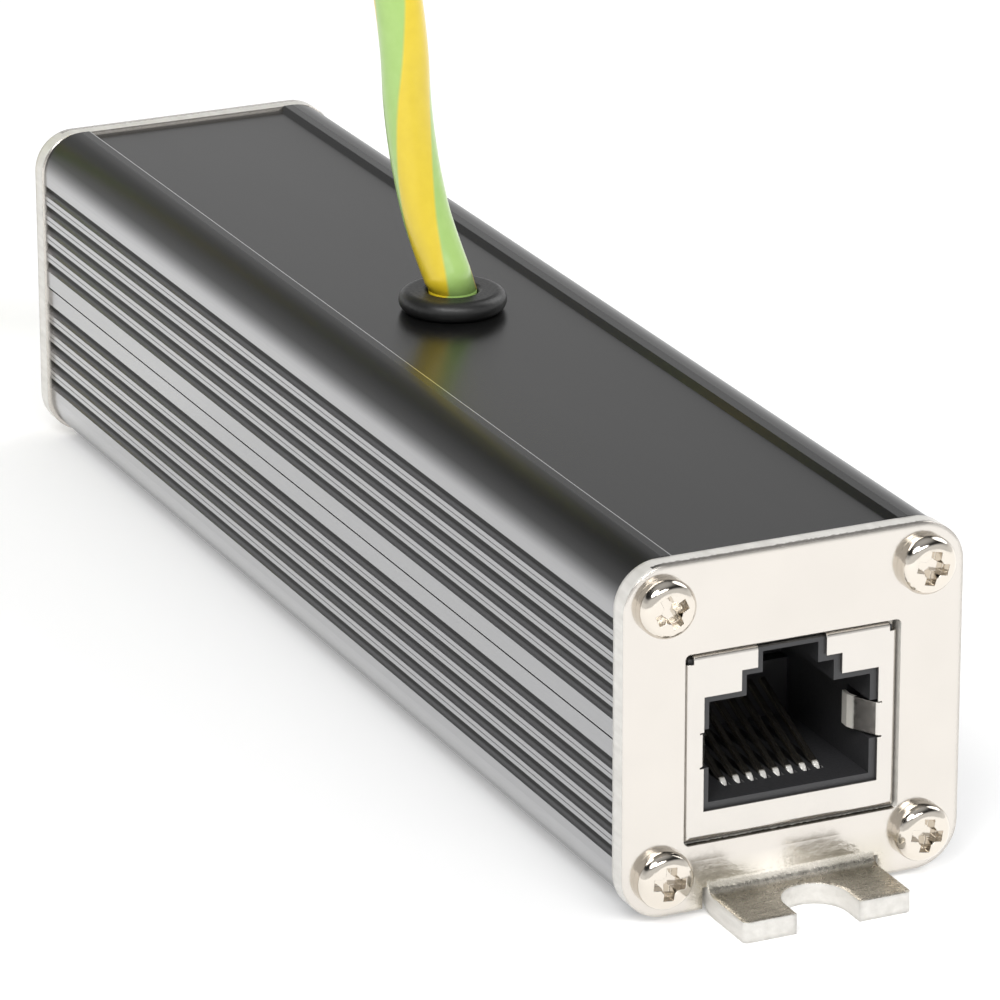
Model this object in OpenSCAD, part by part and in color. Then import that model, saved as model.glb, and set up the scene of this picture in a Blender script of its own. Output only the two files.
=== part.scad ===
// Inline ethernet surge protector: two extruded shells, two end plates with feet, two shielded
// sockets on one circuit board, and an earth wire. Millimetres. The origin is at the middle of
// the footprint, on the surface that the feet stand on. The front end is at -Y.

/* [Housing] */
// Length of the extruded shells
housing_len = 107; // [104:1:150]
// Width of the upper shell
housing_w = 25.2; // [25:0.1:30]
// Height of the two shells together
housing_h = 25.5; // [25:0.1:30]
// Height of the housing above the surface that the feet stand on
foot_gap = 0.35; // [0.2:0.05:1]
// Radius of the long outer corners
corner_r = 3.3; // [2.8:0.1:4]
// Thickness of the extruded walls
wall = 1.5; // [1.3:0.1:1.7]
// Distance by which each side of the lower shell sits inside the upper one's
side_step = 0.15; // [0.05:0.05:0.3]
// Width of the flat of the panel sunk in the top and the bottom
panel_w = 16.1; // [12:0.1:17]
// Depth of that panel
panel_depth = 0.4; // [0.1:0.05:0.6]
// Width of the slope along each side of that panel
panel_slope = 0.5; // [0.1:0.05:0.8]

/* [Side grooves] */
// Number of grooves above the seam, and as many below it, on each side
groove_count = 5; // [1:1:5]
// Distance from one groove to the next
groove_pitch = 1.6; // [1.2:0.05:1.6]
// Distance from the seam to the first groove
groove_first = 1.9; // [1.8:0.05:2.1]
// Radius of a groove's round bottom
groove_r = 0.45; // [0.3:0.05:0.5]
// Depth of a groove
groove_depth = 0.35; // [0.1:0.05:0.45]
// Radius of the fine line along the middle of each rib
rib_line_r = 0.05; // [0.04:0.01:0.12]

/* [Seam] */
// Thickness of the lower shell's tongue
tongue_t = 0.65; // [0.5:0.05:0.7]
// Height of the tongue
tongue_h = 1.2; // [0.8:0.1:1.3]
// Open gap that shows along the seam
seam_gap = 0.26; // [0.1:0.02:0.3]

/* [Screws] */
// Distance from the housing's side to a screw's axis
screw_side = 2.8; // [2.7:0.1:3.2]
// Distance from the housing's top or bottom to a screw's axis
screw_edge = 2.95; // [2.8:0.05:3.2]
// Diameter of the screw's shank
screw_d = 2.2; // [2:0.1:2.4]
// Length of the shank below the head
screw_len = 8; // [5:0.5:12]
// Diameter of the pan head
head_d = 4.2; // [4:0.1:4.8]
// Height of the pan head
head_h = 1.45; // [1.3:0.05:2]
// Length of the cross recess from tip to tip
recess_len = 2.4; // [1.8:0.1:2.8]
// Width of each slot of the recess
recess_w = 0.8; // [0.5:0.05:0.9]
// Depth of the recess
recess_depth = 1; // [0.6:0.1:1.1]
// Wall of the round port that the screw runs into
port_wall = 0.9; // [0.7:0.1:1]

/* [End plates] */
// Thickness of the sheet
plate_t = 1.5; // [1:0.1:2]
// Distance by which the plate stands out past each side of the housing
plate_lip = 0.2; // [0:0.05:0.5]
// Distance by which the plate's top and bottom edges sit inside the housing's
plate_inset = 0.05; // [0:0.05:0.3]
// Radius of the plate's corners
plate_r = 3.2; // [2.5:0.1:4]
// Gap round the sides of the socket in the plate's cut-out
cutout_side_gap = 0.15; // [0.1:0.05:0.4]
// Gap above the socket in that cut-out
cutout_top_gap = 0.25; // [0.1:0.05:0.5]
// Gap below the socket in that cut-out
cutout_bottom_gap = 0.15; // [0.1:0.05:0.5]
// Radius of the cut-out's corners
cutout_r = 0.4; // [0.2:0.1:0.8]

/* [Feet] */
// Width of the foot
foot_w = 12.7; // [9:0.1:14]
// Distance that the foot reaches out from the plate's face
foot_reach = 5.6; // [5:0.1:9]
// Inside radius of the bend
bend_r = 0.9; // [0.8:0.1:1.3]
// Width of the notch for the fixing screw
notch_w = 4.8; // [4.2:0.1:5.5]
// Depth of the notch from the foot's outer edge
notch_depth = 4.2; // [3:0.1:4.2]
// Radius of the foot's outer corners
foot_r = 0.4; // [0.2:0.1:1.5]
// Width of the relief cut beside the foot
relief_w = 0.35; // [0.2:0.05:1]
// Height of that relief cut
relief_h = 1.6; // [1:0.1:2]

/* [Sockets] */
// Width of the shield
jack_w = 16; // [15.6:0.1:16.2]
// Height of the shield above the board
jack_h = 13.5; // [13.3:0.1:14]
// Length of the shield
jack_len = 18; // [17.5:0.5:20]
// Distance from the plate's face back to the shield's face
jack_recess = 0.2; // [0:0.05:0.6]
// Thickness of the shield's sheet
shield_t = 0.25; // [0.2:0.05:0.3]
// Width of the plug opening in the plastic
plug_w = 12.2; // [11.8:0.1:12.4]
// Height of the plug opening's floor above the board
plug_floor = 2.6; // [2.4:0.1:2.7]
// Height of the plug opening's main part
plug_h = 7.3; // [7:0.1:7.4]
// Depth of the plug opening
plug_depth = 13.5; // [12.8:0.1:14]
// Width of the opening's shoulder for the plug's latch
shoulder_w = 6.6; // [6:0.1:7]
// Width of the slot for the latch
latch_w = 4.2; // [3.6:0.1:4.6]
// Height of the shoulder, and of the latch slot above it
latch_step = 1.5; // [1.2:0.1:1.6]
// Distance by which the shield's window is larger than the plastic's on each side
window_rim = 0.5; // [0.3:0.05:0.6]

/* [Contacts] */
// Number of contacts in a socket
contact_count = 8; // [2:2:8]
// Distance from one contact to the next
contact_pitch = 1.016; // [1:0.008:1.02]
// Thickness of the contact's wire
contact_t = 0.4; // [0.3:0.05:0.45]
// Middle radius of the bend at the contact's front
contact_bend_r = 0.6; // [0.45:0.05:0.7]
// Angle at which the contact slopes up from its bend
contact_slope = 22; // [15:1:24]

/* [Board] */
// Height of the board's underside above the housing's underside
board_lift = 3.4; // [3.2:0.1:3.6]
// Thickness of the board
board_t = 1.6; // [1.2:0.1:1.8]
// Gap between the board's ends and the plates
board_end_gap = 1; // [0.4:0.1:2]
// Gap between the board's edges and the lower screw ports
board_side_gap = 0.1; // [0.05:0.05:0.2]

/* [Protection parts] */
// Diameter of a gas discharge tube
tube_d = 5; // [4:0.1:5.5]
// Length of a gas discharge tube
tube_len = 7.6; // [6:0.1:8]
// Distance from one tube to the next
tube_pitch = 7; // [6:0.1:7.5]
// Distance from one diode package to the next
diode_pitch = 6; // [5.2:0.1:6.4]
// Size of a diode package along the board
diode_len = 4.9; // [4:0.1:5.5]
// Size of a diode package across the board
diode_w = 3.9; // [3:0.1:4.5]
// Height of a diode package
diode_h = 1.6; // [1:0.1:2.5]
// Number of gas tubes, and of pairs of diode packages
channel_count = 4; // [2:1:4]

/* [Earth wire] */
// Diameter of the wire over its insulation
wire_d = 3.6; // [3.2:0.1:3.8]
// Diameter of its bare copper
core_d = 1.8; // [1.4:0.1:2]
// Distance of the grommet from the middle of the housing
grommet_y = 0.8; // [-3:0.1:3]
// Diameter of the grommet's bead
grommet_d = 8.1; // [7.6:0.1:9]
// Height of the bead above the sunk panel
grommet_h = 1.55; // [1.2:0.05:2]
// Diameter of the grommet's waist in the shell's hole
waist_d = 6.5; // [5.6:0.1:7]

/* [Terminal] */
// Diameter of the terminal's hole
eye_d = 4.3; // [3.2:0.1:5.3]
// Outer diameter of the terminal's ring
ring_d = 8; // [7:0.1:10]
// Thickness of the terminal's sheet
ring_t = 0.8; // [0.5:0.1:1]
// Outer diameter of the insulating sleeve
sleeve_d = 4.6; // [4.2:0.1:5]
// Length of the insulating sleeve
sleeve_len = 9; // [8:0.5:12]

/* [Hidden] */
// Number of straight edges in a drawn circle
$fn = 48;
// Length by which a cut runs past the face that it starts from
over = 0.5;

black_metal = [0.06, 0.06, 0.065];
nickel = [0.74, 0.73, 0.70];
screw_metal = [0.62, 0.62, 0.61];
tin = [0.80, 0.80, 0.79];
black_plastic = [0.05, 0.05, 0.05];
gold = [0.85, 0.66, 0.30];
board_green = [0.07, 0.30, 0.16];
ceramic = [0.88, 0.86, 0.82];
copper = [0.78, 0.47, 0.30];
wire_yellow = [0.90, 0.84, 0.26];
sleeve_blue = [0.16, 0.30, 0.62];

// Heights and half sizes of the housing
half_len = housing_len / 2;
side_x = housing_w / 2;
half_h = housing_h / 2;
seam_z = foot_gap + half_h;
top_z = foot_gap + housing_h;
face_y = half_len + plate_t;
inner_x = side_x - wall;
inner_h = half_h - wall;
panel_z = top_z - panel_depth;

// Screw ports, one in each corner
port_x = side_x - screw_side;
port_h = half_h - screw_edge;
pilot_gap = 0.05;
pilot_r = screw_d / 2 + pilot_gap;
port_r = pilot_r + port_wall;
hole_gap = 0.3;
screw_tip = 0.6;
crown_r = 7;
shoulder_r = 0.85;

// The tongue of the lower shell in the rebate of the upper one
tongue_gap = 0.05;
tongue_end_gap = 0.1;

// The board lies on ledges beside the lower ports, in slots cut into them
slot_wall = 0.35;
ledge_w = 1.2;
board_x = port_x - pilot_r - slot_wall - board_side_gap;
ledge_x = board_x - ledge_w;
board_z = foot_gap + board_lift;
board_top = board_z + board_t;
board_y = half_len - board_end_gap;

// A socket stands on the board, its face just behind the plate's
jack_x = jack_w / 2;
jack_face = face_y - jack_recess;
jack_back = jack_face - jack_len;
jack_top = board_top + jack_h;
jack_fit = 0.05;
body_x = jack_x - shield_t - jack_fit;
body_z = board_top + shield_t;
body_top = jack_top - shield_t - jack_fit;
body_front = shield_t + jack_fit;
body_back = jack_len - shield_t - jack_fit;
body_chamfer = 0.2;
floor_z = board_top + plug_floor;

// Shield: lip under the socket, corner notches, tabs into the board and spring fingers
lip_len = 2.5;
corner_notch = 0.6;
latch_cut = 0.75;
tab_w = 1.8;
tab_gap = 0.2;
tab_short = 0.1;
tab_depths = [5, 12];
finger_h = 2.4;
finger_above_floor = 2.75;
finger_z = floor_z + finger_above_floor;
finger_x = plug_w / 2 + window_rim;
finger_gap = 0.2;
finger_fold = 0.3;
finger_relief = 0.1;
// Line of the finger's front face: how far in from the window's edge, and how far behind the shield's face
finger_line = [
    [-0.4, 0], [-0.25, 0], [-0.08, 0.06], [0.05, 0.2], [0.13, 0.34], [0.95, 1.8], [1.15, 2.4], [1.1, 3.2]
];
finger_len = finger_line[len(finger_line) - 1][1];
shield_inner_r = 0.12;

// Contacts: a run under the socket's floor, a bend at the front, a slope and a pin through the board
bend_depth = 3.65;
bend_below_floor = 0.55;
bend_z = floor_z - bend_below_floor;
run_z = bend_z - contact_bend_r;
contact_end = 11.5;
pin_depths = [13.4, 15.94];
pin_below = 0.85;
slot_gap = 0.06;
slot_w = contact_t + 2 * slot_gap;
slot_front = 2.4;
contact_lap = 0.1;
slot_z = run_z - slot_w / 2;
pin_hole_r = 0.42;

// Insert: the block behind the contacts
insert_front = 12.5;
insert_x = 6.2;
insert_above_floor = 4.1;
insert_top = floor_z + insert_above_floor;
insert_gap = 0.05;

// Pegs of the socket's body in the board
peg_r = 1.4;
peg_shoulder = 0.6;
peg_depth = 8.6;
peg_gap = 0.05;
peg_ledge_gap = 0.2;
peg_x = ledge_x - peg_r - peg_ledge_gap;
peg_below = 0.7;

// Gas tubes: end caps, a middle ring and two ceramic rings between them
tube_start = 6.8;
tube_lift = 0.3;
cap_t = 0.8;
middle_ring_t = 1;
cap_under = 0.15;
ceramic_wall = 0.8;
lead_r = 0.4;
lead_hole_r = 0.5;
lead_below = 0.8;
tube_z = board_top + tube_lift + tube_d / 2;
ceramic_len = (tube_len - 2 * cap_t - middle_ring_t) / 2;

// Diode packages
diode_start = 8.8;
diode_x = 3.4;
diode_tab_w = 2.2;
diode_tab_t = 0.3;

// Grommet and the wire's stretch inside the housing
bore_gap = 0.05;
waist_gap = 0.05;
flange_t = 1.2;
bead_round = 0.4;
wire_r = wire_d / 2;
core_r = core_d / 2;
exit_z = panel_z + grommet_h;
strip_len = 1.65;
strip_z = board_top + strip_len;
core_gap = 0.15;
solder_r = 1.9;
solder_h = 1;
core_below = 0.75;

// Ring terminal, crimped on the wire's end, and its sleeve, lying on the ground
sleeve_r = sleeve_d / 2;
sleeve_back = 2.5;
sleeve_wire_gap = 0.05;
barrel_r = 1.7;
barrel_len = 7;
barrel_bore = 0.95;
barrel_bore_len = 2;
tongue_w = 3;
ring_ahead = 0.2;
ring_x = barrel_len + ring_ahead + ring_d / 2;

// Route of the free wire, chosen by hand: up from the grommet, over the rear end and down to the ground
wire_route = [
    [0, grommet_y, exit_z], [-0.4, 1.9, 29], [-1, 3.1, 32], [-1.4, 3.9, 35], [-1.7, 4.4, 38],
    [-1.9, 4.7, 41], [-2, 5, 45], [-2.3, 6, 50], [-2.9, 8.3, 55], [-3.9, 12.3, 59.6], [-5.2, 17.6, 63],
    [-6.8, 24, 64.8], [-8.4, 30.6, 64.6], [-10, 37, 62.6], [-11.4, 43, 59], [-12.7, 48.6, 54.2],
    [-13.8, 53.6, 48.4], [-14.7, 58, 42], [-15.3, 62, 35.4], [-15.7, 66, 28.8], [-15.9, 70.4, 22.4],
    [-15.8, 75.4, 16.6], [-15.4, 81.2, 11.6], [-14.8, 88, 7.6], [-14, 95.4, 4.8],
    [-13.2, 103.2, 3.1], [-12.4, 111, 2.35], [-11.7, 118, sleeve_r], [-11, 125, sleeve_r]
];
wire_last = len(wire_route) - 1;
wire_end = wire_route[wire_last];
end_heading = heading(wire_route, wire_last);
wire_sides = 8;
// Level direction square to the route's arch, which the rings are drawn from
route_side = [0.98, 0.21, 0];

// Turn by half a circle, from the front end to the rear one
module rear() {
    rotate([0, 0, 180]) children();
}

// Rectangle with round corners about the origin
module rounded_rect(w, h, r) {
    square([w - 2 * r, h], center = true);
    square([w, h - 2 * r], center = true);
    for (x = [-1, 1], y = [-1, 1]) {
        translate([x * (w / 2 - r), y * (h / 2 - r)]) circle(r = r);
    }
}

// Profile drawn with its Y as height above the seam, run along the housing
module extrusion(len) {
    translate([0, 0, seam_z]) rotate([90, 0, 0]) linear_extrude(len, center = true) children();
}

// Grooves and fine lines above the seam on both sides, for a shell of half width x
module groove_cuts(x) {
    for (side = [-1, 1], i = [0:groove_count - 1]) {
        translate([side * (x + groove_r - groove_depth), groove_first + i * groove_pitch])
            circle(r = groove_r, $fn = 24);
    }
    for (side = [-1, 1], i = [0:groove_count - 2]) {
        translate([side * x, groove_first + (i + 0.5) * groove_pitch])
            circle(r = rib_line_r, $fn = 16);
    }
}

// Sunk panel along the top
module panel_cut() {
    x = panel_w / 2;
    polygon([
        [-x, half_h - panel_depth], [x, half_h - panel_depth], [x + panel_slope, half_h],
        [x + panel_slope, half_h + over], [-x - panel_slope, half_h + over], [-x - panel_slope, half_h]
    ]);
}

// Skin, ports and cuts that both shells share, above the seam, for a shell of half width x
module shell_profile(x) {
    difference() {
        intersection() {
            union() {
                difference() {
                    rounded_rect(2 * x, housing_h, corner_r);
                    rounded_rect(2 * inner_x, 2 * inner_h, corner_r - wall);
                }
                for (side = [-1, 1]) translate([side * port_x, port_h]) circle(r = port_r);
            }
            rounded_rect(2 * x, housing_h, corner_r);
            translate([-x, seam_gap / 2]) square([2 * x, half_h]);
        }
        for (side = [-1, 1]) translate([side * port_x, port_h]) circle(r = pilot_r);
        groove_cuts(x);
        panel_cut();
    }
}

module upper_shell() {
    rebate_w = tongue_t + tongue_gap + over;
    color(black_metal) difference() {
        extrusion(housing_len) difference() {
            shell_profile(side_x);
            for (side = [-1, 1]) {
                translate([side * (inner_x - over + rebate_w / 2), (tongue_h + tongue_end_gap) / 2])
                    square([rebate_w, tongue_h + tongue_end_gap], center = true);
            }
        }
        translate([0, grommet_y, seam_z]) cylinder(r = waist_d / 2 + waist_gap, h = half_h + over);
    }
}

module lower_shell() {
    board_h = seam_z - board_z;
    ledge_end = port_x - pilot_r - pilot_gap;
    color(black_metal) extrusion(housing_len) mirror([0, 1]) difference() {
        union() {
            shell_profile(side_x - side_step);
            for (side = [-1, 1]) {
                translate([side * (inner_x + tongue_t / 2), 0])
                    square([tongue_t, 2 * tongue_h], center = true);
                translate([side * (ledge_x + ledge_end) / 2, (board_h + inner_h + over) / 2])
                    square([ledge_end - ledge_x, inner_h + over - board_h], center = true);
            }
        }
        translate([-board_x - board_side_gap, 0]) square([2 * (board_x + board_side_gap), board_h]);
    }
}

// Outline of the socket's opening for the plug, grown by a rim, with its height above the board
module plug_outline(rim) {
    translate([-plug_w / 2 - rim, plug_floor - rim]) square([plug_w + 2 * rim, plug_h + 2 * rim]);
    translate([-shoulder_w / 2 - rim, plug_floor])
        square([shoulder_w + 2 * rim, plug_h + latch_step + rim]);
    translate([-latch_w / 2 - rim, plug_floor])
        square([latch_w + 2 * rim, plug_h + 2 * latch_step + rim]);
}

// Profile drawn with its Y as height above the board, cut or made from the socket's face inwards
module from_jack_face(start, depth) {
    translate([0, start + depth - jack_face, board_top]) rotate([90, 0, 0]) linear_extrude(depth) children();
}

// Plan of the foot, from the plate's face outwards
module foot_plan() {
    slot_y = foot_reach - notch_depth + notch_w / 2;
    difference() {
        union() {
            translate([-foot_w / 2, bend_r]) square([foot_w, foot_reach - foot_r - bend_r]);
            translate([-foot_w / 2 + foot_r, bend_r]) square([foot_w - 2 * foot_r, foot_reach - bend_r]);
            for (x = [-1, 1]) translate([x * (foot_w / 2 - foot_r), foot_reach - foot_r]) circle(r = foot_r);
        }
        notch_plan(slot_y);
    }
}

// Plan of the notch in the foot
module notch_plan(y) {
    translate([0, y]) circle(r = notch_w / 2);
    translate([-notch_w / 2, y]) square([notch_w, foot_reach]);
}

module end_plate() {
    plate_h = housing_h - 2 * plate_inset;
    outer_r = bend_r + plate_t;
    color(nickel) {
        difference() {
            translate([0, -half_len, seam_z]) rotate([90, 0, 0]) linear_extrude(plate_t) difference() {
                rounded_rect(housing_w + 2 * plate_lip, plate_h, plate_r);
                translate([0, board_top + (jack_h + cutout_top_gap - cutout_bottom_gap) / 2 - seam_z])
                    rounded_rect(
                        jack_w + 2 * cutout_side_gap, jack_h + cutout_top_gap + cutout_bottom_gap, cutout_r
                    );
                translate([-foot_w / 2, -half_h]) square([foot_w, outer_r - foot_gap]);
                translate([-foot_w / 2 - relief_w, -half_h]) square([foot_w + 2 * relief_w, relief_h]);
            }
            for (x = [-1, 1], z = [-1, 1]) {
                translate([x * port_x, over - half_len, seam_z + z * port_h]) rotate([90, 0, 0])
                    cylinder(r = screw_d / 2 + hole_gap, h = plate_t + 2 * over);
            }
        }
        difference() {
            translate([-foot_w / 2, -face_y - bend_r, outer_r]) rotate([0, 90, 0]) difference() {
                cylinder(r = outer_r, h = foot_w);
                translate([0, 0, -over]) cylinder(r = bend_r, h = foot_w + 2 * over);
                translate([-2 * outer_r, -2 * outer_r, -over])
                    cube([2 * outer_r, 4 * outer_r, foot_w + 2 * over]);
                translate([-outer_r, -2 * outer_r, -over])
                    cube([3 * outer_r, 2 * outer_r, foot_w + 2 * over]);
            }
            translate([0, -face_y, -over]) linear_extrude(outer_r) mirror([0, 1])
                notch_plan(foot_reach - notch_depth + notch_w / 2);
        }
        translate([0, -face_y, 0]) linear_extrude(plate_t) mirror([0, 1]) foot_plan();
    }
}

// Half outline of a pan head: a flat crown that runs into a round shoulder
module head_profile() {
    shoulder_x = head_d / 2 - shoulder_r;
    shoulder_z = head_h - crown_r + sqrt(pow(crown_r - shoulder_r, 2) - shoulder_x * shoulder_x);
    meet_x = shoulder_x * crown_r / (crown_r - shoulder_r);
    intersection() {
        square([head_d / 2, head_h]);
        union() {
            square([head_d / 2, shoulder_z]);
            translate([shoulder_x, shoulder_z]) circle(r = shoulder_r);
            intersection() {
                square([meet_x, head_h]);
                translate([0, head_h - crown_r]) circle(r = crown_r, $fn = 96);
            }
        }
    }
}

// Pan head screw with a cross recess, its head on the XY plane and its shank below
module pan_screw(turn) {
    shank = screw_len - screw_tip;
    difference() {
        rotate_extrude() head_profile();
        rotate([0, 0, turn]) {
            for (a = [0, 90]) {
                rotate([0, 0, a]) translate([-recess_len / 2, -recess_w / 2, head_h - recess_depth])
                    cube([recess_len, recess_w, head_h]);
            }
        }
        translate([0, 0, head_h - recess_depth]) cylinder(r1 = recess_w / 2, r2 = recess_w, h = recess_depth);
    }
    translate([0, 0, -shank]) cylinder(r = screw_d / 2, h = shank + over);
    translate([0, 0, -screw_len])
        cylinder(r1 = (screw_d - screw_tip) / 2, r2 = screw_d / 2, h = screw_tip);
}

// Four screws through the front plate, each turned as it was left, from the top left round
module plate_screws(turns) {
    corners = [[-1, 1], [1, 1], [-1, -1], [1, -1]];
    color(screw_metal) for (i = [0:3]) {
        translate([corners[i][0] * port_x, -face_y, seam_z + corners[i][1] * port_h]) rotate([90, 0, 0])
            pan_screw(turns[i]);
    }
}

// Box of the shield with bent edges, its faces moved in by an inset
module shield_box(inset) {
    w = jack_w - 2 * inset;
    len = jack_len - 2 * inset;
    h = jack_h - 2 * inset;
    bend = shield_inner_r + shield_t - inset;
    translate([0, jack_len / 2 - jack_face, board_top + jack_h / 2]) intersection() {
        linear_extrude(h, center = true) rounded_rect(w, len, bend);
        rotate([90, 0, 90]) linear_extrude(w, center = true) rounded_rect(len, h, bend);
    }
}

module jack_shield() {
    tab_h = board_t + shield_t;
    open_h = shield_t + shield_inner_r;
    color(tin) {
        difference() {
            shield_box(0);
            shield_box(shield_t);
            translate([shield_t - jack_x, lip_len - jack_face, board_top - over])
                cube([jack_w - 2 * shield_t, jack_len - lip_len - shield_t, open_h + over]);
            from_jack_face(-over, shield_t + 2 * over) plug_outline(window_rim);
            for (x = [0, 1]) mirror([x, 0, 0]) {
                translate([finger_x - over, -jack_face - over, finger_z - finger_relief])
                    cube([over + finger_fold, shield_t + 2 * over, finger_h + 2 * finger_relief]);
            }
            from_jack_face(-over, latch_cut + over) translate([-latch_w / 2 - window_rim, plug_floor])
                square([latch_w + 2 * window_rim, jack_h]);
            for (x = [-1, 1]) {
                from_jack_face(-over, latch_cut + over)
                    translate([x * jack_x - corner_notch, jack_h - corner_notch])
                    square([2 * corner_notch, 2 * corner_notch]);
            }
        }
        for (x = [-1, 1], d = tab_depths) {
            translate([x * (jack_x - shield_t / 2), d - jack_face, board_z + tab_short + tab_h / 2])
                cube([shield_t, tab_w, tab_h], center = true);
        }
        for (x = [0, 1]) mirror([x, 0, 0]) spring_finger();
    }
}

// Strip folded in from the window's side edge, which touches the plug's own shield
module spring_finger() {
    back = [for (i = [len(finger_line) - 1:-1:0])
        let (along = heading(finger_line, i))
        finger_line[i] + shield_t * [-along[1], along[0]]];
    translate([finger_x, -jack_face, finger_z]) mirror([1, 0, 0]) linear_extrude(finger_h)
        polygon(concat(finger_line, back));
}

module jack_housing() {
    body_h = body_top - body_z;
    color(black_plastic) {
        difference() {
            translate([-body_x, body_front - jack_face, body_z])
                cube([2 * body_x, body_back - body_front, body_h]);
            translate([0, body_front - jack_face, body_z]) rotate([45, 0, 0])
                cube([2 * jack_x, body_chamfer, body_chamfer], center = true);
            from_jack_face(0, plug_depth) plug_outline(0);
            for (x = [0, 1]) mirror([x, 0, 0]) {
                translate([plug_w / 2 - over, -jack_face, finger_z - finger_gap]) cube([
                    over + window_rim + finger_fold + finger_gap, finger_len + 2 * finger_gap,
                    finger_h + 2 * finger_gap
                ]);
            }
            for (i = [0:contact_count - 1]) {
                translate([contact_x(i) - slot_w / 2, slot_front - jack_face, slot_z])
                    cube([slot_w, insert_front + over - slot_front, plug_floor]);
            }
            translate([-insert_x - insert_gap, insert_front - jack_face, body_z - over])
                cube([2 * (insert_x + insert_gap), jack_len, insert_top + insert_gap - body_z + over]);
        }
        for (x = [-1, 1]) translate([x * peg_x, peg_depth - jack_face, 0]) {
            translate([0, 0, board_z - peg_below]) cylinder(r = peg_r, h = body_z - board_z + peg_below);
            translate([0, 0, board_top]) cylinder(r = peg_r + peg_shoulder, h = shield_t + over);
        }
    }
}

module jack_insert() {
    front = insert_front + insert_gap;
    slot_h = run_z + slot_w / 2 - board_top + over;
    color(black_plastic) difference() {
        translate([-insert_x, front - jack_face, board_top])
            cube([2 * insert_x, body_back - front, insert_top - board_top]);
        for (i = [0:contact_count - 1]) {
            translate([contact_x(i) - slot_w / 2, insert_front - jack_face, board_top - over])
                cube([slot_w, pin_depths[i % 2] + slot_w / 2 - insert_front, slot_h]);
        }
    }
}

function contact_x(i) = (i - (contact_count - 1) / 2) * contact_pitch;

// Side view of a contact, with X as depth behind the socket's face and Y as height
module contact_profile(pin_depth) {
    half_t = contact_t / 2;
    far = 2 * contact_bend_r;
    rise_x = bend_depth - contact_bend_r * sin(contact_slope);
    rise_z = bend_z + contact_bend_r * cos(contact_slope);
    rise_len = (contact_end - rise_x) / cos(contact_slope);
    translate([bend_depth - contact_lap, run_z - half_t])
        square([pin_depth + half_t - bend_depth + contact_lap, contact_t]);
    translate([pin_depth - half_t, board_z - pin_below])
        square([contact_t, run_z + half_t - board_z + pin_below]);
    translate([rise_x, rise_z]) rotate(contact_slope) translate([-contact_lap, -half_t])
        square([rise_len + contact_lap, contact_t]);
    translate([bend_depth, bend_z]) intersection() {
        difference() {
            circle(r = contact_bend_r + half_t);
            circle(r = contact_bend_r - half_t);
        }
        polygon([
            [0, 0], [0, -far], [-far, -far], [-far, far],
            [-far * sin(contact_slope), far * cos(contact_slope)]
        ]);
    }
}

module jack_contacts() {
    color(gold) for (i = [0:contact_count - 1]) {
        translate([contact_x(i) - contact_t / 2, -jack_face, 0]) rotate([90, 0, 90]) linear_extrude(contact_t)
            contact_profile(pin_depths[i % 2]);
    }
}

// Holes and notches that one socket needs in the board
module jack_board_cuts() {
    for (x = [-1, 1], d = tab_depths) {
        translate([x * jack_x, d - jack_face, board_z + board_t / 2])
            cube([2 * (shield_t + tab_gap), tab_w + 2 * tab_gap, board_t + 2 * over], center = true);
    }
    for (x = [-1, 1]) board_hole(x * peg_x, peg_depth - jack_face, peg_r + peg_gap);
    for (i = [0:contact_count - 1]) board_hole(contact_x(i), pin_depths[i % 2] - jack_face, pin_hole_r);
}

module board_hole(x, y, r) {
    translate([x, y, board_z - over]) cylinder(r = r, h = board_t + 2 * over);
}

function tube_y(i) = -jack_back + tube_start + i * tube_pitch;
function diode_y(i) = jack_back - diode_start - i * diode_pitch;

module circuit_board() {
    color(board_green) difference() {
        translate([-board_x, -board_y, board_z]) cube([2 * board_x, 2 * board_y, board_t]);
        jack_board_cuts();
        rear() jack_board_cuts();
        for (i = [0:channel_count - 1], x = [-1, 0, 1]) {
            board_hole(x * (tube_len - cap_t) / 2, tube_y(i), lead_hole_r);
        }
        board_hole(0, grommet_y, core_r + core_gap);
    }
}

// Disc or ring about the gas tube's axis, centred at x
module tube_disc(x, len, r) {
    translate([x - len / 2, 0, tube_z]) rotate([0, 90, 0]) cylinder(r = r, h = len);
}

module gas_tube_ceramics() {
    color(ceramic) for (i = [0:channel_count - 1], side = [-1, 1]) translate([0, tube_y(i), 0]) difference() {
        tube_disc(side * (middle_ring_t + ceramic_len) / 2, ceramic_len, tube_d / 2);
        tube_disc(side * (middle_ring_t + ceramic_len) / 2, ceramic_len + over, tube_d / 2 - ceramic_wall);
    }
}

// Electrode disc with its lead through the board
module electrode(x, len, r) {
    tube_disc(x, len, r);
    translate([x, 0, board_z - lead_below]) cylinder(r = lead_r, h = tube_z - r / 2 - board_z + lead_below);
}

module gas_tube_electrodes() {
    color(tin) for (i = [0:channel_count - 1]) translate([0, tube_y(i), 0]) {
        electrode(0, middle_ring_t, tube_d / 2);
        for (side = [-1, 1]) electrode(side * (tube_len - cap_t) / 2, cap_t, tube_d / 2 - cap_under);
    }
}

module clamp_diodes() {
    tab_h = diode_tab_t + diode_h / 2;
    color(black_plastic) for (i = [0:channel_count - 1], side = [-1, 1]) {
        translate([side * diode_x, diode_y(i), board_top]) {
            translate([0, 0, diode_tab_t + diode_h / 2])
                cube([diode_w, diode_len - 2 * diode_tab_t, diode_h], center = true);
            translate([0, 0, tab_h / 2]) cube([diode_tab_w, diode_len, tab_h], center = true);
        }
    }
}

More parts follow.
